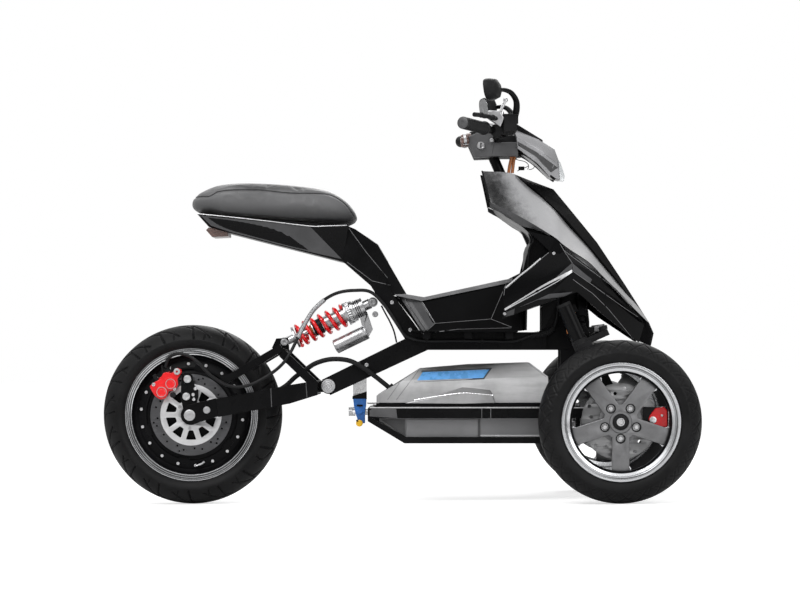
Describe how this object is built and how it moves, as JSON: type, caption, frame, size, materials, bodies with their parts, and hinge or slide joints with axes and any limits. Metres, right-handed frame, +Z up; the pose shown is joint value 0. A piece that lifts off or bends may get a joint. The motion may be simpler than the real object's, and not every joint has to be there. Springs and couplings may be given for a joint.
{
  "type": "leaning electric three-wheeler",
  "caption": "Leaning electric three-wheeler with two steered front wheels, a hub-motor rear wheel, single seat, handlebar and low battery box.",
  "frame": {"origin": "centre of the footprint on the ground, under the middle of the overall length and width", "axes": "+X forward, +Y to the rider's left, +Z up"},
  "size_m": [1.596, 0.81, 1.1189],
  "materials": {
    "frame": "black gloss powder coat",
    "panel_black": "black gloss",
    "panel_grey": "silver grey satin coat",
    "alloy": "machined and polished",
    "bare_alloy": "brushed, welded",
    "case_grey": "mid grey",
    "steel": "zinc plated",
    "red": "bright red coat",
    "tyre": "black rubber",
    "rubber": "black rubber",
    "motor": "satin black",
    "seat": "dark grey leatherette",
    "plastic": "black",
    "smoke": "smoked lens",
    "clear": "clear lens",
    "blue": "blue",
    "yellow": "yellow"
  },
  "bodies": {
    "chassis": {"frame_spine": "frame", "seat_mast": "frame", "head_tube": "frame", "front_crossmember": "frame", "swingarm": "frame", "pivot_bolt": "steel", "rear_axle_bolt": "steel", "rear_caliper": "red", "rear_caliper_bracket": "frame", "rear_brake_hose": "rubber", "motor_cable": "rubber", "cable_gland": "rubber", "shock_body": "alloy", "shock_spring": "red", "shock_reservoir": "alloy", "seat_base": "panel_black", "seat_cushion": "seat", "tail_lamp": "smoke", "tunnel_cover": "panel_black", "footboards": "panel_black", "inner_leg_shield": "panel_black", "fairing_right": "panel_grey", "fairing_left": "panel_grey", "fairing_hood": "panel_black", "apron_right": "panel_black", "apron_left": "panel_black", "battery_cover": "bare_alloy", "battery_case": "case_grey", "battery_cradle": "frame", "cradle_hanger": "steel", "lean_lock": "blue", "lean_lock_knob": "yellow", "lower_arms": "frame", "upper_arms": "frame", "uprights": "frame", "front_shocks": "steel"},
    "rear_wheel": {"rear_tyre": "tyre", "rear_rim": "alloy", "hub_motor": "motor", "rear_disc": "steel"},
    "steering": {"steering_column": "frame", "handlebar": "frame", "grips": "rubber", "brake_levers": "steel", "mirrors": "plastic", "head_cowl": "panel_grey", "headlamp_lens": "clear", "switch_box": "plastic", "indicators": "smoke"},
    "tie_rod": {"tie_rod": "frame"},
    "knuckle_right": {"knuckle_right": "frame", "front_caliper_right": "red"},
    "knuckle_left": {"knuckle_left": "frame", "front_caliper_left": "red"},
    "front_wheel_right": {"front_wheel_right": "alloy", "front_tyre_right": "tyre"},
    "front_wheel_left": {"front_wheel_left": "alloy", "front_tyre_left": "tyre"}
  },
  "joints": [
    {"name": "rear_wheel_spin", "type": "hinge", "parent": "chassis", "child": "rear_wheel", "pos_m": [-0.555, 0, 0.243], "axis": [0, 1, 0], "continuous": true},
    {"name": "steer", "type": "hinge", "parent": "chassis", "child": "steering", "pos_m": [0.49145, 0, 0.417], "axis": [-0.3916, 0, 0.9201], "range_deg": [-25, 25]},
    {"name": "kingpin_right", "type": "hinge", "parent": "chassis", "child": "knuckle_right", "pos_m": [0.49145, -0.262, 0.417], "axis": [-0.3916, 0, 0.9201], "range_deg": [-25, 25]},
    {"name": "kingpin_left", "type": "hinge", "parent": "chassis", "child": "knuckle_left", "pos_m": [0.49145, 0.262, 0.417], "axis": [-0.3916, 0, 0.9201], "range_deg": [-25, 25]},
    {"name": "tie_rod_pin", "type": "hinge", "parent": "knuckle_right", "child": "tie_rod", "pos_m": [0.55586, -0.262, 0.44441], "axis": [-0.3916, 0, 0.9201], "range_deg": [-25, 25]},
    {"name": "front_right_spin", "type": "hinge", "parent": "knuckle_right", "child": "front_wheel_right", "pos_m": [0.585, -0.35, 0.213], "axis": [0, 1, 0], "continuous": true},
    {"name": "front_left_spin", "type": "hinge", "parent": "knuckle_left", "child": "front_wheel_left", "pos_m": [0.585, 0.35, 0.213], "axis": [0, 1, 0], "continuous": true}
  ],
  "couplings": [
    {"joint": "kingpin_right", "follows": "steer", "ratio": 1},
    {"joint": "kingpin_left", "follows": "steer", "ratio": 1},
    {"joint": "tie_rod_pin", "follows": "steer", "ratio": -1}
  ]
}
